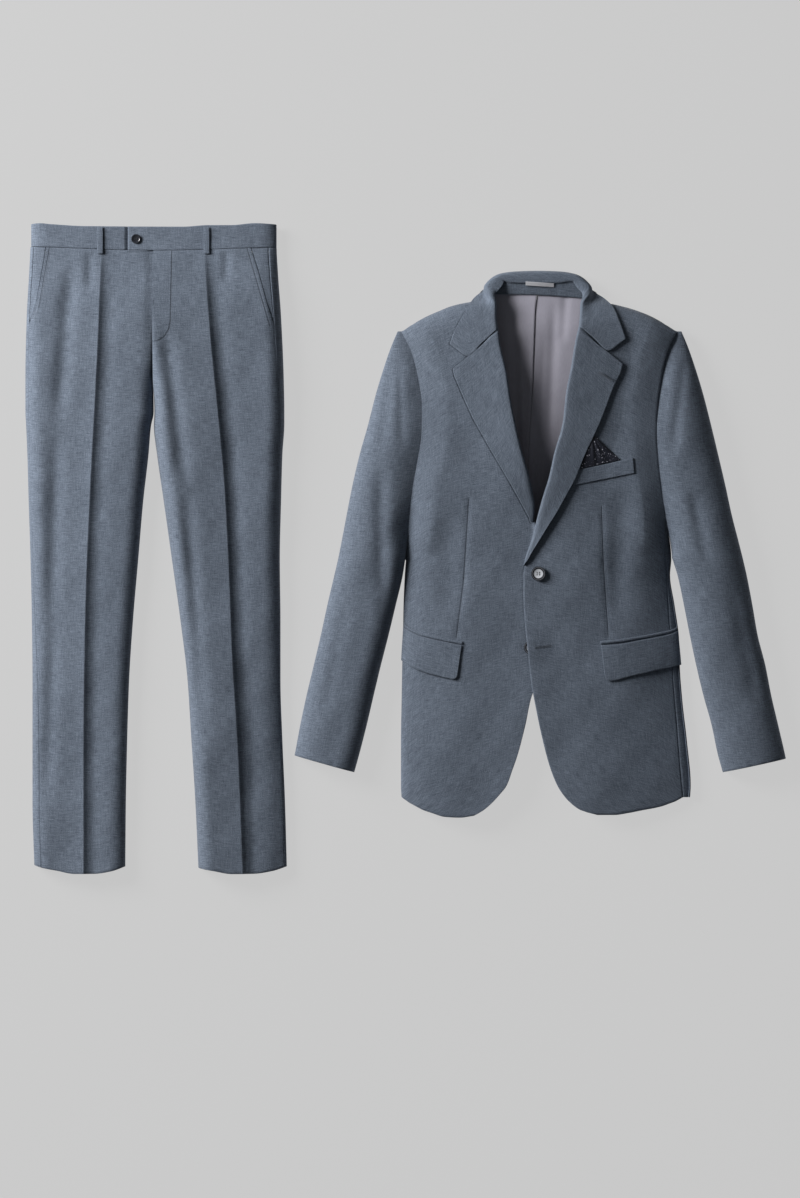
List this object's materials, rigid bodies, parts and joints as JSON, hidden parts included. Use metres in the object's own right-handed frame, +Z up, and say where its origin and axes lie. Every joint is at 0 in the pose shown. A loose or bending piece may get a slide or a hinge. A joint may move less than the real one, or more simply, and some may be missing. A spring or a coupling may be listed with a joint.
{
  "type": "suit",
  "caption": "Men's tailored suit as a set: flat-front trousers and a single-breasted two-button jacket laid out side by side.",
  "frame": {"origin": "centre of the set's outline, on the surface it lies on", "axes": "+X across the set from the trousers to the jacket, +Y towards the waist and collar, +Z up off the surface, out of the garments' front"},
  "size_m": [1.1771, 1.0059, 0.0486],
  "materials": {
    "suit_cloth": "fine matt wool, slightly mottled blue-grey",
    "lining": "satin lining, mauve-grey",
    "pocket_square": "smooth silk, dark navy",
    "hanger_loop": "silver satin ribbon",
    "button": "polished black"
  },
  "bodies": {
    "root": {"trouser_front_right": "suit_cloth", "trouser_front_left": "suit_cloth", "trouser_back_right": "suit_cloth", "trouser_back_left": "suit_cloth", "pocket_facing_right": "suit_cloth", "pocket_facing_left": "suit_cloth", "waistband_right": "suit_cloth", "waistband_left": "suit_cloth", "waistband_back": "suit_cloth", "belt_loop_right": "suit_cloth", "belt_loop_left": "suit_cloth", "jacket_front_right": "suit_cloth", "jacket_front_left": "suit_cloth", "jacket_side_right": "suit_cloth", "jacket_side_left": "suit_cloth", "jacket_back_right": "suit_cloth", "jacket_back_left": "suit_cloth", "upper_sleeve_right": "suit_cloth", "upper_sleeve_left": "suit_cloth", "under_sleeve_right": "suit_cloth", "under_sleeve_left": "suit_cloth", "lapel_right": "suit_cloth", "lapel_left": "suit_cloth", "collar_leaf": "suit_cloth", "collar_stand": "suit_cloth", "breast_welt": "suit_cloth", "jet_right": "suit_cloth", "jet_left": "suit_cloth", "flap_right": "suit_cloth", "flap_left": "suit_cloth", "lining_back_right": "lining", "lining_back_left": "lining", "pocket_square": "pocket_square", "hanger_loop": "hanger_loop", "waist_button": "button", "button_front_upper": "button", "button_front_lower": "button"}
  },
  "joints": []
}
